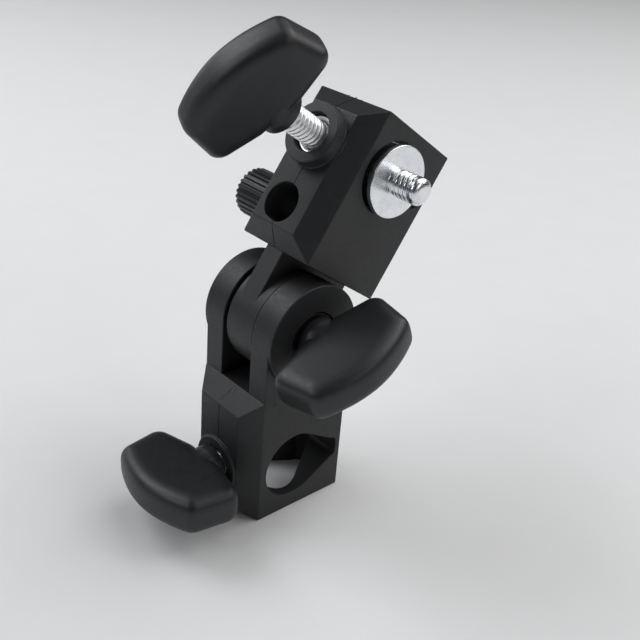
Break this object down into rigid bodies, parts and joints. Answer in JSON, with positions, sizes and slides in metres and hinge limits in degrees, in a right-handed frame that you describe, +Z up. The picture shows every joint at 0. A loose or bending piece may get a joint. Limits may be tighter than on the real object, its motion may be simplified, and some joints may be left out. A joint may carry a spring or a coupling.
{
  "type": "umbrella swivel bracket",
  "caption": "Tilting two-block light stand bracket with paddle clamp knobs, spigot sockets, an umbrella shaft hole and a threaded spigot.",
  "frame": {"origin": "centre of the bounding box at the base, on the floor that the lower block stands on", "axes": "+X along the hinge axis towards the hinge knob, -Y towards the clamp knobs, +Z up"},
  "size_m": [0.0578, 0.0768, 0.1163],
  "materials": {
    "black_moulding": "fine matt grain",
    "black_moulding_upper": "fine matt grain",
    "knob_lower": "satin",
    "knob_upper": "satin",
    "knob_hinge": "satin",
    "screw_lower": "bright zinc",
    "screw_upper": "bright zinc",
    "screw_hinge": "bright zinc",
    "bush_lower": "bright zinc",
    "bush_upper": "bright zinc",
    "nut_hinge": "bright zinc",
    "washer_hinge": "bright zinc",
    "friction_pad_near": "matt",
    "friction_pad_far": "matt",
    "grip": "satin knurl",
    "screw_thumb": "bright zinc",
    "bush_thumb": "as turned",
    "spigot": "turned"
  },
  "bodies": {
    "base": {"lower_body": "black_moulding", "lower_insert": "bush_lower", "hinge_nut": "nut_hinge", "hinge_washer": "washer_hinge", "friction_near": "friction_pad_near", "friction_far": "friction_pad_far"},
    "upper": {"upper_body": "black_moulding_upper", "upper_insert": "bush_upper", "thumb_insert": "bush_thumb"},
    "lower_stud": {"lower_screw": "screw_lower"},
    "lower_paddle": {"lower_knob": "knob_lower"},
    "upper_stud": {"upper_screw": "screw_upper"},
    "upper_paddle": {"upper_knob": "knob_upper"},
    "hinge_stud": {"hinge_screw": "screw_hinge"},
    "hinge_paddle": {"hinge_knob": "knob_hinge"},
    "thumb_stud": {"thumb_screw": "screw_thumb"},
    "thumb_head": {"thumb_grip": "grip"},
    "spigot": {"spigot_adapter": "spigot"}
  },
  "joints": [
    {"name": "tilt", "type": "hinge", "parent": "base", "child": "upper", "pos_m": [-0.00367, -0.00026, 0.0467], "axis": [1, 0, 0], "range_deg": [-55, 79]},
    {"name": "lower_advance", "type": "slide", "parent": "base", "child": "lower_stud", "axis": [0, -1, 0], "range_m": [0, 0.00635]},
    {"name": "lower_turn", "type": "hinge", "parent": "lower_stud", "child": "lower_paddle", "pos_m": [-0.00367, -0.01696, 0.0121], "axis": [0, -1, 0], "range_deg": [0, 1800]},
    {"name": "upper_advance", "type": "slide", "parent": "upper", "child": "upper_stud", "axis": [0, -0.8281, 0.5606], "range_m": [0, 0.00635]},
    {"name": "upper_turn", "type": "hinge", "parent": "upper_stud", "child": "upper_paddle", "pos_m": [-0.00367, 0.00772, 0.08827], "axis": [0, -0.8281, 0.5606], "range_deg": [0, 1800]},
    {"name": "hinge_advance", "type": "slide", "parent": "base", "child": "hinge_stud", "axis": [1, 0, 0], "range_m": [0, 0.00381]},
    {"name": "hinge_turn", "type": "hinge", "parent": "hinge_stud", "child": "hinge_paddle", "pos_m": [0.00833, -0.00026, 0.0467], "axis": [1, 0, 0], "range_deg": [0, 1080]},
    {"name": "thumb_advance", "type": "slide", "parent": "upper", "child": "thumb_stud", "axis": [-1, 0, 0], "range_m": [-0.0016, 0.0024]},
    {"name": "thumb_turn", "type": "hinge", "parent": "thumb_stud", "child": "thumb_head", "pos_m": [-0.01477, 0.01081, 0.0668], "axis": [-1, 0, 0], "range_deg": [-720, 1080]},
    {"name": "spigot_slide", "type": "slide", "parent": "upper", "child": "spigot", "axis": [1, 0, 0], "range_m": [0, 0.024]}
  ],
  "couplings": [
    {"joint": "lower_turn", "follows": "lower_advance", "rad_per_m": 4947.4},
    {"joint": "upper_turn", "follows": "upper_advance", "rad_per_m": 4947.4},
    {"joint": "hinge_turn", "follows": "hinge_advance", "rad_per_m": 4947.4},
    {"joint": "thumb_turn", "follows": "thumb_advance", "rad_per_m": 7854}
  ]
}
